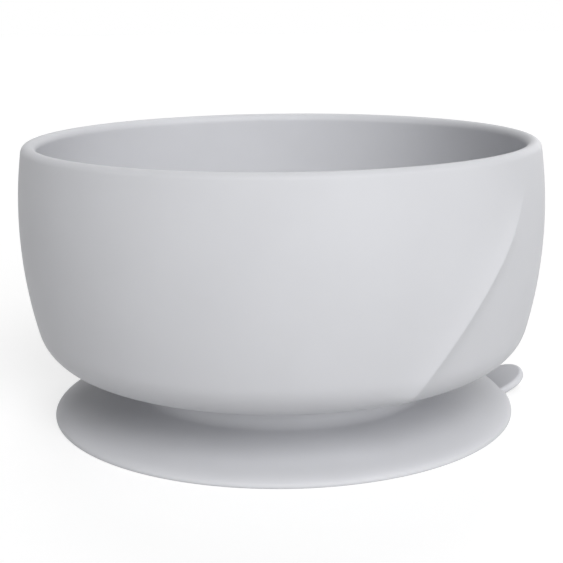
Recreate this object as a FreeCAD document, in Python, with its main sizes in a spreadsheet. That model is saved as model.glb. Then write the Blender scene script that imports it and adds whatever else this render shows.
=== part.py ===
# Baby suction bowl: a moulded silicone bowl on a soft suction base with a lift-up release tab.
# Millimetres, +Z up, origin on the table at the centre of the base, front of the bowl towards -Y.
import FreeCAD, Part
import math
import os
import re
import Sketcher

os.makedirs("parts", exist_ok=True)

# Driving dimensions: name, value, meaning. Lengths in mm, angles in degrees.
SIZES = [
    ("belly_radius", 62.5, "widest radius of the bowl's outer wall"),
    ("belly_height", 48.8, "height of the widest point"),
    ("wall_arc_radius", 106.3, "radius of the wall's upright curve"),
    ("wall_thickness", 3.5, "thickness of the wall and of the rounded rim"),
    ("rim_height", 66.5, "top of the rim"),
    ("foot_height", 14.0, "height of the bowl's underside"),
    ("corner_radius", 11.5, "outer curve between underside and wall"),
    ("floor_thickness", 3.9, "thickness of the bowl's floor"),
    ("inner_corner_radius", 9.0, "inner curve between floor and wall"),
    ("spigot_radius", 27.0, "centring disc on top of the base's neck"),
    ("spigot_depth", 1.6, "height of the centring disc"),
    ("spigot_clearance", 0.15, "room round and above the centring disc"),
    ("ridge_height", 1.5, "how far the crease stands out of the wall"),
    ("ridge_front_width", 8.5, "width of the crease's flank towards the front"),
    ("ridge_rear_width", 7.0, "width of the crease's flank towards the tab"),
    ("ridge_root", 0.7, "depth to which the crease's edges run into the wall"),
    ("ridge_foot_margin", 1.8, "height of the crease's lower end above the underside"),
    ("ridge_foot_fade", 5.5, "height over which the crease rises from its lower end"),
    ("ridge_rim_fade", 18.0, "height over which the crease dies away to its upper end"),
    ("ridge_rim_margin", 4.3, "distance of the crease's upper end below the rim"),
    ("ridge_foot_angle", 25.5, "turn of the crease's lower end from the front"),
    ("ridge_rim_angle", 60.3, "turn of the crease's upper end from the front"),
    ("ridge_bow", 1.0, "how far the crease's middle bows to the front of a straight run, as a turn"),
    ("base_radius", 56.4, "outer radius of the suction skirt"),
    ("edge_land_height", 0.12, "height of the skirt's upright edge, between its bevel and its rounding"),
    ("bevel_height", 0.4, "height of the bevel under the skirt's edge"),
    ("bevel_width", 0.4, "width of the bevel under the skirt's edge"),
    ("skirt_neck_height", 5.9, "height of the skirt's upper face where it would meet the neck"),
    ("skirt_edge_height", 1.75, "height of the skirt's upper face where it would meet the outer radius"),
    ("neck_foot_radius", 35.5, "radius of the neck where it would meet the skirt"),
    ("neck_top_radius", 33.8, "radius of the neck under the bowl"),
    ("neck_fillet_radius", 2.5, "hollow curve between skirt and neck"),
    ("hollow_depth", 5.6, "depth of the suction hollow"),
    ("seal_width", 2.1, "width of the flat ring that seals on the table"),
    ("tab_azimuth", 10.9, "direction of the release tab, turned from the right-hand side to the rear"),
    ("tab_root_inset", 0.8, "how far the tab's straight root lies inside the skirt's edge"),
    ("tab_foot_height", 0.1, "height of the tab's underside at its root"),
    ("tab_thickness", 1.95, "thickness of the tab"),
    ("tab_tilt", 24.0, "upward tilt of the tab at rest"),
    ("tab_half_width", 7.4, "half the width of the tab"),
    ("tab_side_gap", 0.3, "room in the skirt beside the tab's root"),
    ("tab_side_length", 0.2, "straight part of the tab's side before its round end"),
    ("tab_tip_width", 0.4, "straight part of the tab's end between its two round corners"),
    ("tab_edge_radius", 0.75, "rounding of the tab's edges"),
]

doc = FreeCAD.newDocument("suction_bowl")
sheet = doc.addObject("Spreadsheet::Sheet", "sizes")
for row, (name, value, meaning) in enumerate(SIZES, start=1):
    sheet.set("A%d" % row, name)
    sheet.set("B%d" % row, str(value))
    sheet.set("C%d" % row, meaning)
    sheet.setAlias("B%d" % row, name)
doc.recompute()

size = {name: value for name, value, meaning in SIZES}


def cell(expression):
    """The expression with each size's name pointing at its cell in the sheet."""
    return re.sub(r"[a-z_]+", lambda word: "sizes." * (word.group() in size) + word.group(), expression)


def value_of(expression):
    """The expression's number, worked out from the sheet."""
    return float(sheet.evalExpression(cell(expression)))


def make_body(label):
    body = doc.addObject("PartDesign::Body", label)
    body.Label = label
    return body


def add_sketch(body, name, plane):
    """A sketch on one of the body's own origin planes."""
    sketch = body.newObject("Sketcher::SketchObject", name)
    support = [item for item in body.Origin.OriginFeatures if item.Role == plane][0]
    sketch.AttachmentSupport = (support, [""])
    sketch.MapMode = "FlatFace"
    return sketch


def add_line(sketch, start, end):
    first = FreeCAD.Vector(start[0], start[1], 0)
    second = FreeCAD.Vector(end[0], end[1], 0)
    return sketch.addGeometry(Part.LineSegment(first, second), False)


def add_arc(sketch, centre, radius, start_angle, end_angle):
    """An arc that runs anticlockwise from start_angle to end_angle, in radians."""
    circle = Part.Circle(FreeCAD.Vector(centre[0], centre[1], 0), FreeCAD.Vector(0, 0, 1), radius)
    return sketch.addGeometry(Part.ArcOfCircle(circle, start_angle, end_angle), False)


def tie(sketch, kind, *references):
    sketch.addConstraint(Sketcher.Constraint(kind, *references))


def measure(sketch, kind, references, expression):
    """A dimension in the sketch that follows the sheet."""
    index = sketch.addConstraint(Sketcher.Constraint(kind, *references, value_of(expression)))
    sketch.setExpression("Constraints[%d]" % index, cell(expression))


def revolve(body, name, sketch):
    feature = body.newObject("PartDesign::Revolution", name)
    feature.Profile = sketch
    feature.ReferenceAxis = (sketch, ["V_Axis"])
    feature.Angle = 360
    sketch.Visibility = False
    return feature


# References inside a sketch: an element's start, end and centre, and the sketch's own origin.
START, END, CENTRE = range(1, 4)
LEVEL_AXIS, UPRIGHT_AXIS = range(-1, -3, -1)
ORIGIN = (LEVEL_AXIS, START)


def add_bowl_section(sketch):
    """Half the bowl's section: socket, underside, outer wall, rim, inner wall and floor."""
    foot = size["foot_height"]
    wall_centre = (size["belly_radius"] - size["wall_arc_radius"], size["belly_height"])
    socket_radius = size["spigot_radius"] + size["spigot_clearance"]
    socket_top = foot + size["spigot_depth"] + size["spigot_clearance"]
    floor = foot + size["floor_thickness"]

    def corner(wall_radius, corner_radius, bottom):
        """Centre of a corner that touches the level bottom and the wall, and where it meets the wall."""
        drop = bottom + corner_radius - wall_centre[1]
        reach = math.sqrt((wall_radius - corner_radius) ** 2 - drop ** 2)
        return (wall_centre[0] + reach, bottom + corner_radius), math.atan2(drop, reach)

    outer_wall = size["wall_arc_radius"]
    inner_wall = outer_wall - size["wall_thickness"]
    middle = (outer_wall + inner_wall) / 2
    outer_centre, outer_angle = corner(outer_wall, size["corner_radius"], foot)
    inner_centre, inner_angle = corner(inner_wall, size["inner_corner_radius"], floor)
    bead_radius = size["wall_thickness"] / 2
    rim_angle = math.asin((size["rim_height"] - bead_radius - wall_centre[1]) / middle)
    bead_centre = (
        wall_centre[0] + middle * math.cos(rim_angle),
        wall_centre[1] + middle * math.sin(rim_angle),
   )

    socket_ceiling = add_line(sketch, (0, socket_top), (socket_radius, socket_top))
    socket_wall = add_line(sketch, (socket_radius, socket_top), (socket_radius, foot))
    underside = add_line(sketch, (socket_radius, foot), (outer_centre[0], foot))
    outer_corner = add_arc(sketch, outer_centre, size["corner_radius"], -math.pi / 2, outer_angle)
    outer = add_arc(sketch, wall_centre, outer_wall, outer_angle, rim_angle)
    bead = add_arc(sketch, bead_centre, bead_radius, rim_angle, rim_angle + math.pi)
    inner = add_arc(sketch, wall_centre, inner_wall, inner_angle, rim_angle)
    inner_corner = add_arc(sketch, inner_centre, size["inner_corner_radius"], -math.pi / 2, inner_angle)
    floor_line = add_line(sketch, (inner_centre[0], floor), (0, floor))
    axis_line = add_line(sketch, (0, floor), (0, socket_top))

    for line in (socket_ceiling, underside, floor_line):
        tie(sketch, "Horizontal", line)
    tie(sketch, "Vertical", socket_wall)
    tie(sketch, "Coincident", socket_ceiling, END, socket_wall, START)
    tie(sketch, "Coincident", socket_wall, END, underside, START)
    tie(sketch, "Tangent", underside, END, outer_corner, START)
    tie(sketch, "Tangent", outer_corner, END, outer, START)
    tie(sketch, "Tangent", outer, END, bead, START)
    tie(sketch, "Tangent", bead, END, inner, END)
    tie(sketch, "Tangent", inner, START, inner_corner, END)
    tie(sketch, "Tangent", inner_corner, START, floor_line, START)
    tie(sketch, "Coincident", floor_line, END, axis_line, START)
    tie(sketch, "Coincident", axis_line, END, socket_ceiling, START)
    tie(sketch, "PointOnObject", axis_line, START, UPRIGHT_AXIS)
    tie(sketch, "PointOnObject", axis_line, END, UPRIGHT_AXIS)
    tie(sketch, "Coincident", outer, CENTRE, inner, CENTRE)

    measure(sketch, "Radius", (outer,), "wall_arc_radius")
    measure(sketch, "Radius", (inner,), "wall_arc_radius - wall_thickness")
    measure(sketch, "Radius", (outer_corner,), "corner_radius")
    measure(sketch, "Radius", (inner_corner,), "inner_corner_radius")
    measure(sketch, "DistanceX", (outer, CENTRE) + ORIGIN, "wall_arc_radius - belly_radius")
    measure(sketch, "DistanceY", ORIGIN + (outer, CENTRE), "belly_height")
    measure(sketch, "DistanceY", ORIGIN + (bead, CENTRE), "rim_height - wall_thickness / 2")
    measure(sketch, "DistanceY", ORIGIN + (underside, START), "foot_height")
    measure(sketch, "DistanceX", ORIGIN + (socket_wall, END), "spigot_radius + spigot_clearance")
    socket_height = "foot_height + spigot_depth + spigot_clearance"
    measure(sketch, "DistanceY", ORIGIN + (socket_ceiling, END), socket_height)
    measure(sketch, "DistanceY", ORIGIN + (floor_line, START), "foot_height + floor_thickness")


def wall_radius_at(height):
    """Expression for the bowl's outer radius at a height that is itself an expression."""
    wall = "(belly_radius - wall_arc_radius)"
    corner_height = "(foot_height + corner_radius)"
    reach = "sqrt((wall_arc_radius - corner_radius) ^ 2 - (%s - belly_height) ^ 2)" % corner_height
    join = "(belly_height - (belly_height - %s) * wall_arc_radius / (wall_arc_radius - corner_radius))"
    upright = "%s + sqrt(wall_arc_radius ^ 2 - ((%s) - belly_height) ^ 2)" % (wall, height)
    curved = "%s + %s + sqrt(corner_radius ^ 2 - ((%s) - %s) ^ 2)" % (wall, reach, height, corner_height)
    if value_of(height) > value_of(join % corner_height):
        return upright
    return curved


def add_ridge_section(body, place, height, turn, rise):
    """One level three-cornered section of the crease, turned to its place on the wall."""
    sketch = add_sketch(body, "ridge_section_%d" % place, "XY_Plane")
    spin = FreeCAD.Rotation(FreeCAD.Vector(0, 0, 1), value_of(turn))
    sketch.AttachmentOffset = FreeCAD.Placement(FreeCAD.Vector(0, 0, value_of(height)), spin)
    sketch.setExpression("AttachmentOffset.Base.z", cell(height))
    sketch.setExpression("AttachmentOffset.Rotation.Angle", cell(turn))

    surface = wall_radius_at(height)
    root = "%s - ridge_root" % surface
    crest = "%s + ridge_height * %s" % (surface, rise)
    front_point = (value_of(root), -size["ridge_front_width"])
    crest_point = (value_of(crest), 0)
    rear_point = (value_of(root), size["ridge_rear_width"])
    front = add_line(sketch, front_point, crest_point)
    rear = add_line(sketch, crest_point, rear_point)
    back = add_line(sketch, rear_point, front_point)
    tie(sketch, "Coincident", front, END, rear, START)
    tie(sketch, "Coincident", rear, END, back, START)
    tie(sketch, "Coincident", back, END, front, START)
    tie(sketch, "Vertical", back)
    tie(sketch, "PointOnObject", front, END, LEVEL_AXIS)
    measure(sketch, "DistanceX", ORIGIN + (front, START), root)
    measure(sketch, "DistanceX", ORIGIN + (front, END), crest)
    measure(sketch, "DistanceY", (front, START) + ORIGIN, "ridge_front_width")
    measure(sketch, "DistanceY", ORIGIN + (rear, END), "ridge_rear_width")
    sketch.Visibility = False
    return sketch


bowl = make_body("bowl")
bowl_section = add_sketch(bowl, "bowl_section", "XZ_Plane")
add_bowl_section(bowl_section)
revolve(bowl, "bowl_shell", bowl_section)
doc.recompute()
plain_bowl_volume = bowl.Shape.Volume

RIDGE_SPAN = "(rim_height - ridge_rim_margin - foot_height - ridge_foot_margin)"
ridge_sections = []
section_count = 16
for place in range(section_count):
    share = place / (section_count - 1)
    above_foot = "%s * %s" % (share, RIDGE_SPAN)
    below_rim = "%s * %s" % (1 - share, RIDGE_SPAN)
    height = "foot_height + ridge_foot_margin + %s" % above_foot
    bow = "%s * ridge_bow" % (4 * share * (1 - share))
    turn = "ridge_foot_angle + %s * (ridge_rim_angle - ridge_foot_angle) - %s - 90" % (share, bow)
    rise = "min(1, 0.05 + %s / ridge_foot_fade, 0.05 + %s / ridge_rim_fade)" % (above_foot, below_rim)
    ridge_sections.append(add_ridge_section(bowl, place, height, turn, rise))
ridge = bowl.newObject("PartDesign::AdditiveLoft", "ridge")
ridge.Profile = ridge_sections[0]
ridge.Sections = ridge_sections[1:]
ridge.Ruled = True
bowl.Tip = ridge


HOLLOW_RADIUS = "base_radius - bevel_width - seal_width"


def add_base_section(sketch):
    """Half the base's section: suction hollow, sealing ring, skirt, neck and centring disc."""
    neck_foot = (size["neck_foot_radius"], size["skirt_neck_height"])
    neck_top = (size["neck_top_radius"], size["foot_height"])
    outer_radius = size["base_radius"]
    drop = neck_foot[1] - size["skirt_edge_height"]
    slope = math.atan2(drop, outer_radius - neck_foot[0])
    lean = math.atan2(neck_foot[0] - neck_top[0], neck_top[1] - neck_foot[1])

    hollow = value_of(HOLLOW_RADIUS)
    depth = size["hollow_depth"]
    dome_radius = (hollow ** 2 + depth ** 2) / (2 * depth)
    dome_angle = math.pi / 2 - math.asin(hollow / dome_radius)

    # The skirt's rounded edge starts at the top of its upright edge and touches its sloping upper face.
    lower_edge = size["bevel_height"]
    edge_z = lower_edge + size["edge_land_height"]
    edge = (size["skirt_edge_height"] - edge_z) / (1 / math.cos(slope) - math.tan(slope))
    edge_x = outer_radius - edge
    edge_top = (edge_x + edge * math.sin(slope), edge_z + edge * math.cos(slope))

    # The hollow curve touches the skirt's upper face and the leaning side of the neck.
    fillet = size["neck_fillet_radius"]
    setback = fillet / math.tan((math.pi / 2 + slope + lean) / 2)
    fillet_foot = (neck_foot[0] + setback * math.cos(slope), neck_foot[1] - setback * math.sin(slope))
    fillet_top = (neck_foot[0] - setback * math.sin(lean), neck_foot[1] + setback * math.cos(lean))
    fillet_centre = (fillet_foot[0] + fillet * math.sin(slope), fillet_foot[1] + fillet * math.cos(slope))

    disc_radius = size["spigot_radius"]
    foot = size["foot_height"]
    top = foot + size["spigot_depth"]
    seal_edge = outer_radius - size["bevel_width"]
    dome = add_arc(sketch, (0, depth - dome_radius), dome_radius, dome_angle, math.pi / 2)
    seal = add_line(sketch, (hollow, 0), (seal_edge, 0))
    bevel = add_line(sketch, (seal_edge, 0), (outer_radius, lower_edge))
    side = add_line(sketch, (outer_radius, lower_edge), (outer_radius, edge_z))
    edge_arc = add_arc(sketch, (edge_x, edge_z), edge, 0, math.pi / 2 - slope)
    skirt = add_line(sketch, edge_top, fillet_foot)
    fillet_arc = add_arc(sketch, fillet_centre, fillet, math.pi + lean, 3 * math.pi / 2 - slope)
    neck = add_line(sketch, fillet_top, neck_top)
    shoulder = add_line(sketch, neck_top, (disc_radius, foot))
    disc_side = add_line(sketch, (disc_radius, foot), (disc_radius, top))
    disc_top = add_line(sketch, (disc_radius, top), (0, top))
    axis_line = add_line(sketch, (0, top), (0, depth))
    neck_corner = sketch.addGeometry(Part.Point(FreeCAD.Vector(neck_foot[0], neck_foot[1], 0)), True)
    edge_height = size["skirt_edge_height"]
    edge_corner = sketch.addGeometry(Part.Point(FreeCAD.Vector(outer_radius, edge_height, 0)), True)

    for line in (seal, shoulder, disc_top):
        tie(sketch, "Horizontal", line)
    for line in (side, disc_side):
        tie(sketch, "Vertical", line)
    tie(sketch, "Coincident", dome, START, seal, START)
    tie(sketch, "Coincident", seal, END, bevel, START)
    tie(sketch, "Coincident", bevel, END, side, START)
    tie(sketch, "Tangent", side, END, edge_arc, START)
    tie(sketch, "Tangent", edge_arc, END, skirt, START)
    tie(sketch, "Tangent", skirt, END, fillet_arc, END)
    tie(sketch, "Tangent", fillet_arc, START, neck, START)
    tie(sketch, "Coincident", neck, END, shoulder, START)
    tie(sketch, "Coincident", shoulder, END, disc_side, START)
    tie(sketch, "Coincident", disc_side, END, disc_top, START)
    tie(sketch, "Coincident", disc_top, END, axis_line, START)
    tie(sketch, "Coincident", axis_line, END, dome, END)
    tie(sketch, "PointOnObject", axis_line, START, UPRIGHT_AXIS)
    tie(sketch, "PointOnObject", axis_line, END, UPRIGHT_AXIS)
    tie(sketch, "PointOnObject", dome, CENTRE, UPRIGHT_AXIS)
    tie(sketch, "PointOnObject", dome, START, LEVEL_AXIS)
    tie(sketch, "PointOnObject", neck_corner, START, skirt)
    tie(sketch, "PointOnObject", neck_corner, START, neck)
    tie(sketch, "PointOnObject", edge_corner, START, skirt)

    measure(sketch, "DistanceY", ORIGIN + (axis_line, END), "hollow_depth")
    measure(sketch, "DistanceX", ORIGIN + (dome, START), HOLLOW_RADIUS)
    measure(sketch, "DistanceX", ORIGIN + (seal, END), "base_radius - bevel_width")
    measure(sketch, "DistanceX", ORIGIN + (side, START), "base_radius")
    measure(sketch, "DistanceY", ORIGIN + (side, START), "bevel_height")
    measure(sketch, "DistanceY", (side, START, side, END), "edge_land_height")
    measure(sketch, "DistanceX", ORIGIN + (edge_corner, START), "base_radius")
    measure(sketch, "DistanceY", ORIGIN + (edge_corner, START), "skirt_edge_height")
    measure(sketch, "DistanceX", ORIGIN + (neck_corner, START), "neck_foot_radius")
    measure(sketch, "DistanceY", ORIGIN + (neck_corner, START), "skirt_neck_height")
    measure(sketch, "Radius", (fillet_arc,), "neck_fillet_radius")
    measure(sketch, "DistanceX", ORIGIN + (neck, END), "neck_top_radius")
    measure(sketch, "DistanceY", ORIGIN + (neck, END), "foot_height")
    measure(sketch, "DistanceX", ORIGIN + (disc_side, END), "spigot_radius")
    measure(sketch, "DistanceY", ORIGIN + (disc_side, END), "foot_height + spigot_depth")


def add_tab_rectangle(body, name, height, near, far, half_width):
    """A level rectangle on the tab's centre line, at a height, between two distances from the axis."""
    sketch = add_sketch(body, name, "XY_Plane")
    spin = FreeCAD.Rotation(FreeCAD.Vector(0, 0, 1), size["tab_azimuth"])
    sketch.AttachmentOffset = FreeCAD.Placement(FreeCAD.Vector(0, 0, value_of(height)), spin)
    sketch.setExpression("AttachmentOffset.Base.z", cell(height))
    sketch.setExpression("AttachmentOffset.Rotation.Angle", cell("tab_azimuth"))

    near_x = value_of(near)
    far_x = value_of(far)
    side = value_of(half_width)
    corners = [(near_x, -side), (far_x, -side), (far_x, side), (near_x, side)]
    lines = [add_line(sketch, corners[place], corners[(place + 1) % 4]) for place in range(4)]
    for place in range(4):
        tie(sketch, "Coincident", lines[place], END, lines[(place + 1) % 4], START)
    for line in (lines[0], lines[2]):
        tie(sketch, "Horizontal", line)
    for line in (lines[1], lines[3]):
        tie(sketch, "Vertical", line)
    measure(sketch, "DistanceX", ORIGIN + (lines[0], START), near)
    measure(sketch, "DistanceX", ORIGIN + (lines[0], END), far)
    measure(sketch, "DistanceY", (lines[0], START) + ORIGIN, half_width)
    measure(sketch, "DistanceY", ORIGIN + (lines[2], START), half_width)
    sketch.Visibility = False
    return sketch


TAB_ROOT = "base_radius - tab_root_inset"
TAB_ROOT_THICKNESS = "tab_thickness / cos(tab_tilt * 1 deg)"
TAB_TOP = "tab_foot_height + %s" % TAB_ROOT_THICKNESS
TAB_CORNER = "tab_half_width - tab_tip_width / 2"
TAB_LENGTH = "tab_side_length + %s" % TAB_CORNER

base = make_body("suction_base")
base_section = add_sketch(base, "base_section", "XZ_Plane")
add_base_section(base_section)
revolve(base, "base_disc", base_section)
doc.recompute()
disc_volume = base.Shape.Volume

# The land runs out to the skirt's edge. The flat then cuts it and the skirt beside it back to the tab's root.
land_outline = add_tab_rectangle(
    base, "tab_land_outline", "tab_foot_height", HOLLOW_RADIUS, "base_radius", "tab_half_width"
)
land = base.newObject("PartDesign::Pad", "tab_land")
land.Profile = land_outline
land.setExpression("Length", cell(TAB_ROOT_THICKNESS))
doc.recompute()
land_volume = base.Shape.Volume

flat_end = "base_radius + %s" % TAB_LENGTH
flat_side = "tab_half_width + tab_side_gap"
flat_outline = add_tab_rectangle(base, "tab_flat_outline", "foot_height", TAB_ROOT, flat_end, flat_side)
flat = base.newObject("PartDesign::Pocket", "tab_flat")
flat.Profile = flat_outline
flat.Type = "ThroughAll"
doc.recompute()
flat_volume = base.Shape.Volume


def add_tab_side(sketch):
    """The tab seen from the side: an upright root and a plate that tilts up to its tip."""
    tilt = math.radians(size["tab_tilt"])
    along = (math.cos(tilt), math.sin(tilt))
    length = value_of(TAB_LENGTH)
    top_root = (value_of(TAB_ROOT), value_of(TAB_TOP))
    top_tip = (top_root[0] + length * along[0], top_root[1] + length * along[1])
    low_tip = (top_tip[0] + size["tab_thickness"] * along[1], top_tip[1] - size["tab_thickness"] * along[0])
    low_root = (top_root[0], size["tab_foot_height"])

    upper = add_line(sketch, top_root, top_tip)
    tip = add_line(sketch, top_tip, low_tip)
    lower = add_line(sketch, low_tip, low_root)
    root = add_line(sketch, low_root, top_root)
    tie(sketch, "Coincident", upper, END, tip, START)
    tie(sketch, "Coincident", tip, END, lower, START)
    tie(sketch, "Coincident", lower, END, root, START)
    tie(sketch, "Coincident", root, END, upper, START)
    tie(sketch, "Vertical", root)
    tie(sketch, "Parallel", upper, lower)
    tie(sketch, "Perpendicular", upper, tip)
    measure(sketch, "DistanceX", ORIGIN + (root, END), TAB_ROOT)
    measure(sketch, "DistanceY", ORIGIN + (root, END), TAB_TOP)
    measure(sketch, "Distance", (upper,), TAB_LENGTH)
    measure(sketch, "Distance", (tip,), "tab_thickness")
    slope = sketch.addConstraint(Sketcher.Constraint("Angle", upper, tilt))
    sketch.setExpression("Constraints[%d]" % slope, cell("tab_tilt * 1 deg"))


def edges_where(feature, wanted):
    """Names of the feature's edges whose middle point passes the test."""
    names = []
    for place, edge in enumerate(feature.Shape.Edges, start=1):
        middle = edge.valueAt((edge.FirstParameter + edge.LastParameter) / 2)
        if wanted(edge, middle):
            names.append("Edge%d" % place)
    return names


def round_edges(body, name, feature, wanted, radius):
    rounding = body.newObject("PartDesign::Fillet", name)
    rounding.Base = (feature, edges_where(feature, wanted))
    rounding.Radius = value_of(radius)
    rounding.setExpression("Radius", cell(radius))
    doc.recompute()
    return rounding


tab = make_body("release_tab")
tab_side = add_sketch(tab, "tab_side", "XZ_Plane")
add_tab_side(tab_side)
tab_side.Visibility = False
plate = tab.newObject("PartDesign::Pad", "tab_plate")
plate.Profile = tab_side
plate.SideType = "Symmetric"
plate.setExpression("Length", cell("2 * tab_half_width"))
doc.recompute()

root_x = value_of(TAB_ROOT)
half_width = size["tab_half_width"]
tip_corners = round_edges(
    tab,
    "tab_corners",
    plate,
    lambda edge, middle: middle.x > root_x + value_of(TAB_LENGTH) / 2 and abs(middle.y) > half_width - 0.01
    and edge.Length < size["tab_thickness"] + 0.01,
    TAB_CORNER,
)


def on_outline(edge, middle):
    """An edge of the tab's upper or lower face, but not one across or down its root."""
    across_root = max(abs(vertex.X - root_x) for vertex in edge.Vertexes) < 0.01
    through_plate = abs(edge.Length - size["tab_thickness"]) < 0.01
    return not across_root and not through_plate


tab_edges = round_edges(tab, "tab_edges", tip_corners, on_outline, "tab_edge_radius")
tab.Tip = tab_edges
tab.Placement = FreeCAD.Placement(
    FreeCAD.Vector(0, 0, 0), FreeCAD.Rotation(FreeCAD.Vector(0, 0, 1), size["tab_azimuth"])
)
tab.setExpression("Placement.Rotation.Angle", cell("tab_azimuth"))
doc.recompute()

for item in doc.Objects:
    if "Invalid" in item.State or "Error" in item.State:
        raise RuntimeError("%s failed: %s" % (item.Name, item.State))
if bowl.Shape.Volume <= plain_bowl_volume:
    raise RuntimeError("the crease added nothing to the bowl")
if land_volume <= disc_volume or flat_volume >= land_volume:
    raise RuntimeError("the tab's land or flat changed nothing on the base")

for body in (bowl, base, tab):
    if body.Shape.isNull() or not body.Shape.isValid() or len(body.Shape.Solids) != 1:
        raise RuntimeError("%s is not one valid solid" % body.Label)
    body.Shape.exportStep("parts/%s.step" % body.Label)
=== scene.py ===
# Silicone suction bowl: detailed meshes, materials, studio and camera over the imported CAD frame.
import math

import bpy
from mathutils import Matrix, Vector


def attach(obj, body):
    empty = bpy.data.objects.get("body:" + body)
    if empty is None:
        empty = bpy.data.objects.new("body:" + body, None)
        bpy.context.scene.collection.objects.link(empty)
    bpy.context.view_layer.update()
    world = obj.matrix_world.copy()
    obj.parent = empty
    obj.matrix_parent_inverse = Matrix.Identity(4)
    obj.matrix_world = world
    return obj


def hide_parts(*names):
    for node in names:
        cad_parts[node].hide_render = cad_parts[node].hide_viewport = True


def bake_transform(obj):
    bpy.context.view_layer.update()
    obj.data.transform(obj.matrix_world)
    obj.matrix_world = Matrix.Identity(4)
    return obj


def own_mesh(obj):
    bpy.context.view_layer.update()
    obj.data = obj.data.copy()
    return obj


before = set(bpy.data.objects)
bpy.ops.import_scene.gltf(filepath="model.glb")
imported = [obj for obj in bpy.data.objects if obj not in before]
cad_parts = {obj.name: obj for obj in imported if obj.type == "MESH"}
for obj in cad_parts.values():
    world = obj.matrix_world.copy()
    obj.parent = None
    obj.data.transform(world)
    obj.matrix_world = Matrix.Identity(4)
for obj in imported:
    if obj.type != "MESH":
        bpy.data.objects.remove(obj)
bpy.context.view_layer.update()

MM = 0.001


# ---------------------------------------------------------------- sizes in mm, turns in degrees
# The bowl, as in the CAD model.
BELLY_RADIUS = 62.5
BELLY_HEIGHT = 48.8
WALL_ARC = 106.3
WALL = 3.5
RIM_HEIGHT = 66.5
FOOT = 14.0
CORNER = 11.5
BOWL_FLOOR = 3.9
INNER_CORNER = 9.0
DISC_RADIUS = 27.0
DISC_HEIGHT = 1.6
DISC_CLEARANCE = 0.15

# The crease, as in the CAD model. Its turns are measured from the front.
RIDGE_RISE = 1.5
RIDGE_FOOT_HEIGHT = FOOT + 1.8
RIDGE_FOOT_TURN = 25.5
RIDGE_RIM_HEIGHT = RIM_HEIGHT - 4.3
RIDGE_RIM_TURN = 60.3
RIDGE_BOW = 1.0
RIDGE_RIM_FADE = 18.0

# The crease's soft shape in this mesh. Its line runs on below its foot by a share of its height.
RIDGE_FOOT_FADE = 5.0
RIDGE_FOOT_LEAD = 1.5
RIDGE_TAIL = 0.15
RIDGE_FRONT = 3.6
RIDGE_REAR = 3.2
RIDGE_BLUNTNESS = 0.4

# The suction base, as in the CAD model.
BASE_RADIUS = 56.4
BEVEL = 0.4
SEAL = 2.1
SKIRT_NECK = 5.9
SKIRT_EDGE = 1.75
NECK_FOOT = 35.5
NECK_TOP = 33.8
NECK_FILLET = 2.5
HOLLOW = 5.6

# The skirt's soft edge in this mesh: how far its curve reaches inwards, and how low it ends.
EDGE_REACH = 4.5
EDGE_FOOT = 0.5

# The release tab, as in the CAD model. The last two are straight parts of its side and of half its tip.
TAB_TURN = 10.9
TAB_ROOT = BASE_RADIUS - 0.8
TAB_FOOT = 0.1
TAB_THICK = 1.95
TAB_TILT = 24.0
TAB_HALF = 7.4
TAB_SIDE = 0.2
TAB_TIP = 0.2

# What follows for the tab, and its edge and hidden heel in this mesh.
TAB_TOP = TAB_FOOT + TAB_THICK / math.cos(math.radians(TAB_TILT))
TAB_CORNER = TAB_HALF - TAB_TIP
TAB_EDGE = 0.8
TAB_HEEL = 1.8

# The flat cap in the middle of each turned mesh, and how fine the meshes are.
CAP_RADIUS = 0.6
FINEST_TURN = 0.12
WIDEST_TURN = 1.25
TURN_GROWTH = 1.07
CORNER_ROWS = 30
BASE_COLUMNS = 320
TAB_COLUMNS = 16


# ---------------------------------------------------------------- outline and mesh helpers
def arc(centre, radius, start, end, count):
    """Points on an arc in count steps, angles in radians, both ends included."""
    points = []
    for place in range(count + 1):
        turn = start + (end - start) * place / count
        points.append((centre[0] + radius * math.cos(turn), centre[1] + radius * math.sin(turn)))
    return points


def line(start, end, count):
    """Points on a straight run in count steps, both ends included."""
    return [
        (start[0] + (end[0] - start[0]) * k / count, start[1] + (end[1] - start[1]) * k / count)
        for k in range(count + 1)
    ]


def rounded(start, corner, end, count):
    """Points, in count steps, on a curve that leaves start towards corner and reaches end from it."""
    points = []
    for place in range(count + 1):
        share = place / count
        weights = ((1 - share) ** 2, 2 * share * (1 - share), share ** 2)
        spots = (start, corner, end)
        points.append(tuple(sum(w * spot[k] for w, spot in zip(weights, spots)) for k in range(2)))
    return points


def joined(*runs):
    """One open outline from runs that share their end points."""
    points = list(runs[0])
    for run in runs[1:]:
        points.extend(run[1:])
    return points


def normal_at(outline, place):
    """Unit normal at one point of an outline, on the right of its run."""
    before = outline[max(0, place - 1)]
    after = outline[min(len(outline) - 1, place + 1)]
    run = (after[0] - before[0], after[1] - before[1])
    length = math.hypot(*run)
    return run[1] / length, -run[0] / length


def corner_on_wall(wall_radius, corner_radius, bottom):
    """Centre of a corner between a level bottom and the wall, and the angle where it meets the wall."""
    drop = bottom + corner_radius - BELLY_HEIGHT
    reach = math.sqrt((wall_radius - corner_radius) ** 2 - drop ** 2)
    return (BELLY_RADIUS - WALL_ARC + reach, bottom + corner_radius), math.atan2(drop, reach)


def turned_faces(rows, columns):
    """Faces over points that run row by row round the axis, with a cap on the first and the last row."""
    faces = []
    for row in range(rows - 1):
        this_row = row * columns
        next_row = this_row + columns
        for place in range(columns):
            step = (place + 1) % columns
            faces.append((this_row + place, this_row + step, next_row + step, next_row + place))
    faces.append(tuple(reversed(range(columns))))
    faces.append(tuple((rows - 1) * columns + place for place in range(columns)))
    return faces


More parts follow.
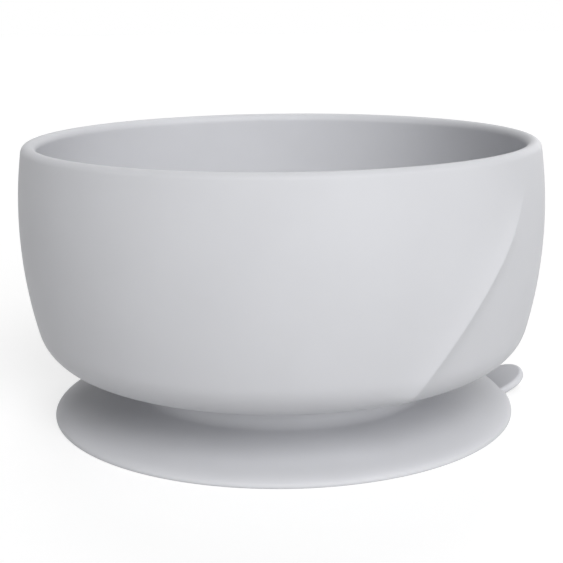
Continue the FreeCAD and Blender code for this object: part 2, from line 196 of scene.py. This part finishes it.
def new_mesh(name, points, faces):
    """A smooth-shaded object from points in mm."""
    mesh = bpy.data.meshes.new(name)
    mesh.from_pydata([(x * MM, y * MM, z * MM) for x, y, z in points], [], faces)
    mesh.validate()
    mesh.update()
    for polygon in mesh.polygons:
        polygon.use_smooth = True
    piece = bpy.data.objects.new(name, mesh)
    bpy.context.scene.collection.objects.link(piece)
    return piece


# ---------------------------------------------------------------- bowl
def ridge_turn(height):
    """Where the crease stands at a height, in degrees round from the front."""
    share = (height - RIDGE_FOOT_HEIGHT) / (RIDGE_RIM_HEIGHT - RIDGE_FOOT_HEIGHT)
    share = min(1.0, max(-RIDGE_TAIL, share))
    bow = 4 * RIDGE_BOW * max(0.0, share) * (1 - share)
    return RIDGE_FOOT_TURN + (RIDGE_RIM_TURN - RIDGE_FOOT_TURN) * share - bow


def ease(value):
    """A soft step from 0 to 1."""
    value = min(1.0, max(0.0, value))
    return value * value * (3 - 2 * value)


def ridge_rise(height, across):
    """How far the crease lifts the wall at a height and a distance across it, in mm."""
    foot_fade = ease((height - RIDGE_FOOT_HEIGHT + RIDGE_FOOT_LEAD) / RIDGE_FOOT_FADE)
    rim_fade = ease((RIDGE_RIM_HEIGHT - height) / RIDGE_RIM_FADE)
    reach = RIDGE_FRONT if across < 0 else RIDGE_REAR
    distance = math.sqrt(across * across + RIDGE_BLUNTNESS ** 2) - RIDGE_BLUNTNESS
    return RIDGE_RISE * foot_fade * rim_fade * math.exp(-distance / reach)


def spaced_turns():
    """Angles round the bowl measured from the crease, in degrees: close together at the crease."""
    side = [0.0]
    step = FINEST_TURN
    while side[-1] + step < 180.0:
        side.append(side[-1] + step)
        step = min(WIDEST_TURN, step * TURN_GROWTH)
    stretch = 180.0 / side[-1]
    side = [turn * stretch for turn in side]
    return [-turn for turn in reversed(side[1:-1])] + side


def bowl_outline():
    """The bowl's section, from the middle of its underside over the rim to its floor, and its outer rows."""
    foot_centre, foot_angle = corner_on_wall(WALL_ARC, CORNER, FOOT)
    floor_centre, floor_angle = corner_on_wall(WALL_ARC - WALL, INNER_CORNER, FOOT + BOWL_FLOOR)
    wall_centre = (BELLY_RADIUS - WALL_ARC, BELLY_HEIGHT)
    middle = WALL_ARC - WALL / 2
    rim_angle = math.asin((RIM_HEIGHT - WALL / 2 - BELLY_HEIGHT) / middle)
    bead = (wall_centre[0] + middle * math.cos(rim_angle), wall_centre[1] + middle * math.sin(rim_angle))
    socket = DISC_RADIUS + DISC_CLEARANCE
    socket_top = FOOT + DISC_HEIGHT + DISC_CLEARANCE
    under = joined(
        line((CAP_RADIUS, socket_top), (socket, socket_top), 12),
        line((socket, socket_top), (socket, FOOT), 3),
        line((socket, FOOT), (foot_centre[0], FOOT), 10),
        arc(foot_centre, CORNER, -math.pi / 2, foot_angle, CORNER_ROWS),
    )
    outer = arc(wall_centre, WALL_ARC, foot_angle, rim_angle, 64)
    over = joined(
        arc(bead, WALL / 2, rim_angle, rim_angle + math.pi, 20),
        arc(wall_centre, WALL_ARC - WALL, rim_angle, floor_angle, 40),
        arc(floor_centre, INNER_CORNER, floor_angle, -math.pi / 2, 18),
        line((floor_centre[0], FOOT + BOWL_FLOOR), (CAP_RADIUS, FOOT + BOWL_FLOOR), 20),
    )
    outer_rows = range(len(under) - CORNER_ROWS - 1, len(under) + len(outer) - 1)
    return joined(under, outer, over), outer_rows


def make_bowl():
    """The turned bowl. Its columns follow the crease up the outside and stay upright elsewhere."""
    outline, outer_rows = bowl_outline()
    sideways = math.radians(RIDGE_RIM_TURN - RIDGE_FOOT_TURN) * BELLY_RADIUS
    lean = sideways / (RIDGE_RIM_HEIGHT - RIDGE_FOOT_HEIGHT)
    upright = 1.0 / math.sqrt(1.0 + lean * lean)
    turns = spaced_turns()
    points = []
    for row, (radius, height) in enumerate(outline):
        if row < outer_rows.start:
            anchor = ridge_turn(0)
        elif row < outer_rows.stop:
            anchor = ridge_turn(height)
        else:
            anchor = ridge_turn(RIDGE_RIM_HEIGHT)
        outwards, upwards = normal_at(outline, row)
        for turn in turns:
            lift = 0.0
            if row in outer_rows:
                lift = ridge_rise(height, math.radians(turn) * radius * upright)
            angle = math.radians(anchor + turn)
            reach = radius + outwards * lift
            points.append((reach * math.sin(angle), -reach * math.cos(angle), height + upwards * lift))
    return new_mesh("silicone_bowl", points, turned_faces(len(outline), len(turns)))


# ---------------------------------------------------------------- suction base
def base_outline():
    """The base's section, from the middle of its hollow round the skirt's edge to the centring disc."""
    slope = math.atan2(SKIRT_NECK - SKIRT_EDGE, BASE_RADIUS - NECK_FOOT)
    lean = math.atan2(NECK_FOOT - NECK_TOP, FOOT - SKIRT_NECK)
    hollow_radius = BASE_RADIUS - BEVEL - SEAL
    dome = (hollow_radius ** 2 + HOLLOW ** 2) / (2 * HOLLOW)
    dome_end = math.pi / 2 - math.asin(hollow_radius / dome)
    edge_foot = (BASE_RADIUS, EDGE_FOOT)
    edge_top = (BASE_RADIUS - EDGE_REACH * math.cos(slope), SKIRT_EDGE + EDGE_REACH * math.sin(slope))
    setback = NECK_FILLET / math.tan((math.pi / 2 + slope + lean) / 2)
    fillet_foot = (NECK_FOOT + setback * math.cos(slope), SKIRT_NECK - setback * math.sin(slope))
    fillet_top = (NECK_FOOT - setback * math.sin(lean), SKIRT_NECK + setback * math.cos(lean))
    fillet_centre = (
        fillet_foot[0] + NECK_FILLET * math.sin(slope),
        fillet_foot[1] + NECK_FILLET * math.cos(slope),
    )
    disc_top = FOOT + DISC_HEIGHT
    return joined(
        arc((0, HOLLOW - dome), dome, math.pi / 2 - CAP_RADIUS / dome, dome_end, 40),
        line((hollow_radius, 0), (BASE_RADIUS - BEVEL, 0), 3),
        arc((BASE_RADIUS - BEVEL, BEVEL), BEVEL, -math.pi / 2, 0, 6),
        line((BASE_RADIUS, BEVEL), edge_foot, 1),
        rounded(edge_foot, (BASE_RADIUS, SKIRT_EDGE), edge_top, 24),
        line(edge_top, fillet_foot, 26),
        arc(fillet_centre, NECK_FILLET, 1.5 * math.pi - slope, math.pi + lean, 10),
        line(fillet_top, (NECK_TOP, FOOT), 8),
        line((NECK_TOP, FOOT), (DISC_RADIUS, FOOT), 5),
        line((DISC_RADIUS, FOOT), (DISC_RADIUS, disc_top), 3),
        line((DISC_RADIUS, disc_top), (CAP_RADIUS, disc_top), 10),
    )


def make_base():
    """The turned base: skirt, hollow, neck and centring disc in one."""
    outline = base_outline()
    points = []
    for radius, height in outline:
        for place in range(BASE_COLUMNS):
            angle = 2 * math.pi * place / BASE_COLUMNS
            points.append((radius * math.cos(angle), radius * math.sin(angle), height))
    return new_mesh("suction_skirt", points, turned_faces(len(outline), BASE_COLUMNS))


# ---------------------------------------------------------------- release tab
def tab_outline():
    """Half of the tab's plan, laid flat from heel to tip: distance from its root, and across."""
    return joined(
        line((-TAB_HEEL, TAB_HALF), (TAB_SIDE, TAB_HALF), 16),
        arc((TAB_SIDE, TAB_TIP), TAB_CORNER, math.pi / 2, 0, 32),
    )


def tab_point(along, across, down):
    """A point of the flat tab, tilted into its place. Its heel, hidden in the skirt, stays off the table."""
    tilt = math.radians(TAB_TILT)
    reach = TAB_ROOT + along * math.cos(tilt) + down * math.sin(tilt)
    height = max(TAB_FOOT, TAB_TOP + along * math.sin(tilt) - down * math.cos(tilt))
    side = math.radians(TAB_TURN)
    return (
        reach * math.cos(side) - across * math.sin(side),
        reach * math.sin(side) + across * math.cos(side),
        height,
    )


def tab_edge():
    """The tab's rounded edge in section: distance in from the outline, and down from its top face."""
    quarter = arc((0, 0), TAB_EDGE, math.pi / 2, 0, 8)
    upper = [(TAB_EDGE - inset, TAB_EDGE - rise) for inset, rise in quarter]
    return upper + [(inset, TAB_THICK - down) for inset, down in reversed(upper)]


def make_tab():
    """The tab as closed rings round its thickness, one for each point of its outline from heel to tip."""
    half = tab_outline()
    section = tab_edge()
    points = []

    def add(along, across, down):
        points.append(tab_point(along, across, down))
        return len(points) - 1

    rings = []
    for place, (along, across) in enumerate(half):
        inward = normal_at(half, place)
        edge = [(along + inward[0] * inset, across + inward[1] * inset, down) for inset, down in section]
        left = [add(*spot) for spot in edge]
        right = [add(spot[0], -spot[1], spot[2]) for spot in edge]
        top = [left[0]]
        under = [left[-1]]
        for step in range(1, TAB_COLUMNS):
            share = 1 - 2 * step / TAB_COLUMNS
            top.append(add(edge[0][0], edge[0][1] * share, edge[0][2]))
            under.append(add(edge[-1][0], edge[-1][1] * share, edge[-1][2]))
        top.append(right[0])
        under.append(right[-1])
        rings.append(left[::-1] + top[1:-1] + right + under[-2:0:-1])
    faces = []
    around = len(rings[0])
    for before, after in zip(rings, rings[1:]):
        for place in range(around):
            step = (place + 1) % around
            faces.append((before[place], before[step], after[step], after[place]))
    # The flat heel takes one face. The last ring curves round the tip, so it is closed level by level.
    faces.append(tuple(reversed(rings[0])))
    faces.append((left[1], *top, right[1]))
    for upper in range(1, len(section) - 2):
        faces.append((left[upper + 1], left[upper], right[upper], right[upper + 1]))
    faces.append((left[-2], right[-2], *reversed(under)))
    return new_mesh("lift_tab", points, faces)


# ---------------------------------------------------------------- material
# Its linear colour, and two places in the cloud noise's range, each with the colour's level there.
TINT = (0.60, 0.605, 0.63)
CLOUDS = ((0.3, 0.985), (0.7, 1.012))

# Its gloss, and the light that scatters under its surface.
ROUGHNESS = (0.44, 0.54)
IOR = 1.41
SPECULAR = 0.18
SCATTER = 0.12
SCATTER_COLOURS = (1.0, 0.95, 0.9)
SCATTER_DEPTH = 1.5 * MM

# Scale and detail of each noise, and the strength and depth of the grain's bump.
CLOUD_NOISE = (55.0, 3.0)
PATCH_NOISE = (180.0, 4.0)
GRAIN_NOISE = (2600.0, 2.0)
GRAIN_STRENGTH = 0.06
GRAIN_DEPTH = 0.05 * MM


def add_noise(tree, place, scale, detail):
    """Noise that is fixed to the piece, as a value from 0 to 1."""
    noise = tree.nodes.new("ShaderNodeTexNoise")
    noise.inputs["Scale"].default_value = scale
    noise.inputs["Detail"].default_value = detail
    tree.links.new(place.outputs["Object"], noise.inputs["Vector"])
    return noise.outputs["Fac"]


def silicone(name, tint):
    """Satin silicone: faintly cloudy colour, patchy gloss, a fine moulded grain and a little scattering."""
    material = bpy.data.materials.new(name)
    material.use_nodes = True
    tree = material.node_tree
    nodes, links = tree.nodes, tree.links
    nodes.clear()
    output = nodes.new("ShaderNodeOutputMaterial")
    shader = nodes.new("ShaderNodeBsdfPrincipled")
    links.new(shader.outputs["BSDF"], output.inputs["Surface"])
    place = nodes.new("ShaderNodeTexCoord")

    shade = nodes.new("ShaderNodeValToRGB")
    for element, (position, level) in zip(shade.color_ramp.elements, CLOUDS):
        element.position = position
        element.color = tuple(channel * level for channel in tint) + (1,)
    links.new(add_noise(tree, place, *CLOUD_NOISE), shade.inputs["Fac"])
    links.new(shade.outputs["Color"], shader.inputs["Base Color"])

    gloss = nodes.new("ShaderNodeMapRange")
    gloss.inputs["To Min"].default_value = ROUGHNESS[0]
    gloss.inputs["To Max"].default_value = ROUGHNESS[1]
    links.new(add_noise(tree, place, *PATCH_NOISE), gloss.inputs["Value"])
    links.new(gloss.outputs["Result"], shader.inputs["Roughness"])

    bump = nodes.new("ShaderNodeBump")
    bump.inputs["Strength"].default_value = GRAIN_STRENGTH
    bump.inputs["Distance"].default_value = GRAIN_DEPTH
    links.new(add_noise(tree, place, *GRAIN_NOISE), bump.inputs["Height"])
    links.new(bump.outputs["Normal"], shader.inputs["Normal"])

    shader.inputs["IOR"].default_value = IOR
    shader.inputs["Specular IOR Level"].default_value = SPECULAR
    shader.inputs["Subsurface Weight"].default_value = SCATTER
    shader.inputs["Subsurface Radius"].default_value = SCATTER_COLOURS
    shader.inputs["Subsurface Scale"].default_value = SCATTER_DEPTH
    return material


# ---------------------------------------------------------------- pieces; the bowl and the base on their bodies
bowl = make_bowl()
bowl.data.materials.append(silicone("bowl_silicone_satin", TINT))
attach(bowl, "bowl_body")
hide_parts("bowl")

base = make_base()
base_silicone = silicone("base_silicone_satin", TINT)
base.data.materials.append(base_silicone)
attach(base, "base_body")
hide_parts("suction_base")
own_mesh(base)

tab = make_tab()
tab.data.materials.append(base_silicone)
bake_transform(tab)
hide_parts("release_tab")


# ---------------------------------------------------------------- floor and backdrop
# The floor's paleness for the light it throws on the object, and as it is seen, with a glow to white.
PAPER_BOUNCE = 0.62
PAPER_SEEN = 0.45
PAPER_GLOW = 0.66
PAPER_HALF = 3.0
BACKDROP = 1.0


def seen_directly(nodes, links):
    """1 for what the camera sees, itself, reflected or through glass, and 0 for light on the object."""
    path = nodes.new("ShaderNodeLightPath")
    mirrored = nodes.new("ShaderNodeMath")
    mirrored.operation = "MAXIMUM"
    links.new(path.outputs["Is Camera Ray"], mirrored.inputs[0])
    links.new(path.outputs["Is Glossy Ray"], mirrored.inputs[1])
    seen = nodes.new("ShaderNodeMath")
    seen.operation = "MAXIMUM"
    links.new(mirrored.outputs["Value"], seen.inputs[0])
    links.new(path.outputs["Is Transmission Ray"], seen.inputs[1])
    return seen.outputs["Value"]


def add_paper(nodes, level):
    """A matt grey surface."""
    shader = nodes.new("ShaderNodeBsdfDiffuse")
    shader.inputs["Color"].default_value = (level, level, level, 1)
    return shader.outputs["BSDF"]


def floor_material():
    """Paper that is seen as white, and that throws light on the object as a pale floor does."""
    material = bpy.data.materials.new("studio_floor_paper")
    material.use_nodes = True
    nodes, links = material.node_tree.nodes, material.node_tree.links
    nodes.clear()
    output = nodes.new("ShaderNodeOutputMaterial")
    bounce = add_paper(nodes, PAPER_BOUNCE)
    paper = add_paper(nodes, PAPER_SEEN)
    glow = nodes.new("ShaderNodeEmission")
    glow.inputs["Strength"].default_value = PAPER_GLOW
    white = nodes.new("ShaderNodeAddShader")
    links.new(paper, white.inputs[0])
    links.new(glow.outputs["Emission"], white.inputs[1])
    mix = nodes.new("ShaderNodeMixShader")
    links.new(seen_directly(nodes, links), mix.inputs["Fac"])
    links.new(bounce, mix.inputs[1])
    links.new(white.outputs["Shader"], mix.inputs[2])
    links.new(mix.outputs["Shader"], output.inputs["Surface"])
    material.cycles.emission_sampling = "NONE"
    return material


def make_floor():
    """A level square sheet under the object."""
    half = PAPER_HALF
    corners = [(-half, -half, 0), (half, -half, 0), (half, half, 0), (-half, half, 0)]
    mesh = bpy.data.meshes.new("studio_floor")
    mesh.from_pydata(corners, [], [(0, 1, 2, 3)])
    mesh.materials.append(floor_material())
    floor = bpy.data.objects.new("studio_floor", mesh)
    bpy.context.scene.collection.objects.link(floor)
    return floor


def make_backdrop():
    """A world that is seen as white, also in reflections, and throws no other light on the object."""
    world = bpy.data.worlds.new("studio_world")
    world.use_nodes = True
    nodes, links = world.node_tree.nodes, world.node_tree.links
    nodes.clear()
    output = nodes.new("ShaderNodeOutputWorld")
    backdrop = nodes.new("ShaderNodeBackground")
    backdrop.inputs["Color"].default_value = (1, 1, 1, 1)
    level = nodes.new("ShaderNodeMath")
    level.operation = "MULTIPLY"
    level.inputs[1].default_value = BACKDROP
    links.new(seen_directly(nodes, links), level.inputs[0])
    links.new(level.outputs["Value"], backdrop.inputs["Strength"])
    links.new(backdrop.outputs["Background"], output.inputs["Surface"])
    bpy.context.scene.world = world


make_floor()
make_backdrop()


# ---------------------------------------------------------------- light
# Name, degrees round from the front towards the right, degrees up, strength.
LAMPS = [
    ("key", 10, 45, 1.15),
    ("key_edge", 30, 45, 0.7),
    ("front_low", 30, 15, 1.1),
    ("left_low", -30, 15, 0.45),
    ("left_edge_low", -55, 15, 0.18),
    ("right_low", 80, 15, 0.4),
    ("rear_low", 150, 15, 0.34),
    ("rear_high", 180, 50, 0.75),
]
LAMP_SPREAD = 35


def add_lamp(name, turn, rise, strength):
    """A large soft lamp that lights the object from one direction."""
    data = bpy.data.lights.new(name, "SUN")
    data.angle = math.radians(LAMP_SPREAD)
    data.energy = strength
    lamp = bpy.data.objects.new(name, data)
    bpy.context.scene.collection.objects.link(lamp)
    around, up = math.radians(turn), math.radians(rise)
    towards = Vector((math.sin(around) * math.cos(up), -math.cos(around) * math.cos(up), math.sin(up)))
    lamp.location = towards
    lamp.rotation_euler = towards.to_track_quat("Z", "Y").to_euler()


for lamp_entry in LAMPS:
    add_lamp(*lamp_entry)


# ---------------------------------------------------------------- camera
# Place in metres, turns in degrees, lens and sensor in mm.
CAMERA_PLACE = (0.00217, -0.2917, 0.0995)
CAMERA_YAW = 0.467
CAMERA_PITCH = 13.22
CAMERA_ROLL = -0.605
LENS = 77.85
SENSOR_WIDTH = 36.0
NEAR_CLIP = 0.01


def make_camera():
    """The camera in front of the bowl, looking a little down on it."""
    data = bpy.data.cameras.new("camera")
    data.lens = LENS
    data.sensor_width = SENSOR_WIDTH
    data.clip_start = NEAR_CLIP
    camera = bpy.data.objects.new("camera", data)
    bpy.context.scene.collection.objects.link(camera)
    camera.matrix_world = (
        Matrix.Translation(CAMERA_PLACE)
        @ Matrix.Rotation(math.radians(CAMERA_YAW), 4, "Z")
        @ Matrix.Rotation(math.pi / 2 - math.radians(CAMERA_PITCH), 4, "X")
        @ Matrix.Rotation(math.radians(CAMERA_ROLL), 4, "Z")
    )
    return camera


bpy.context.scene.camera = make_camera()

bpy.context.scene.view_settings.view_transform = "Standard"
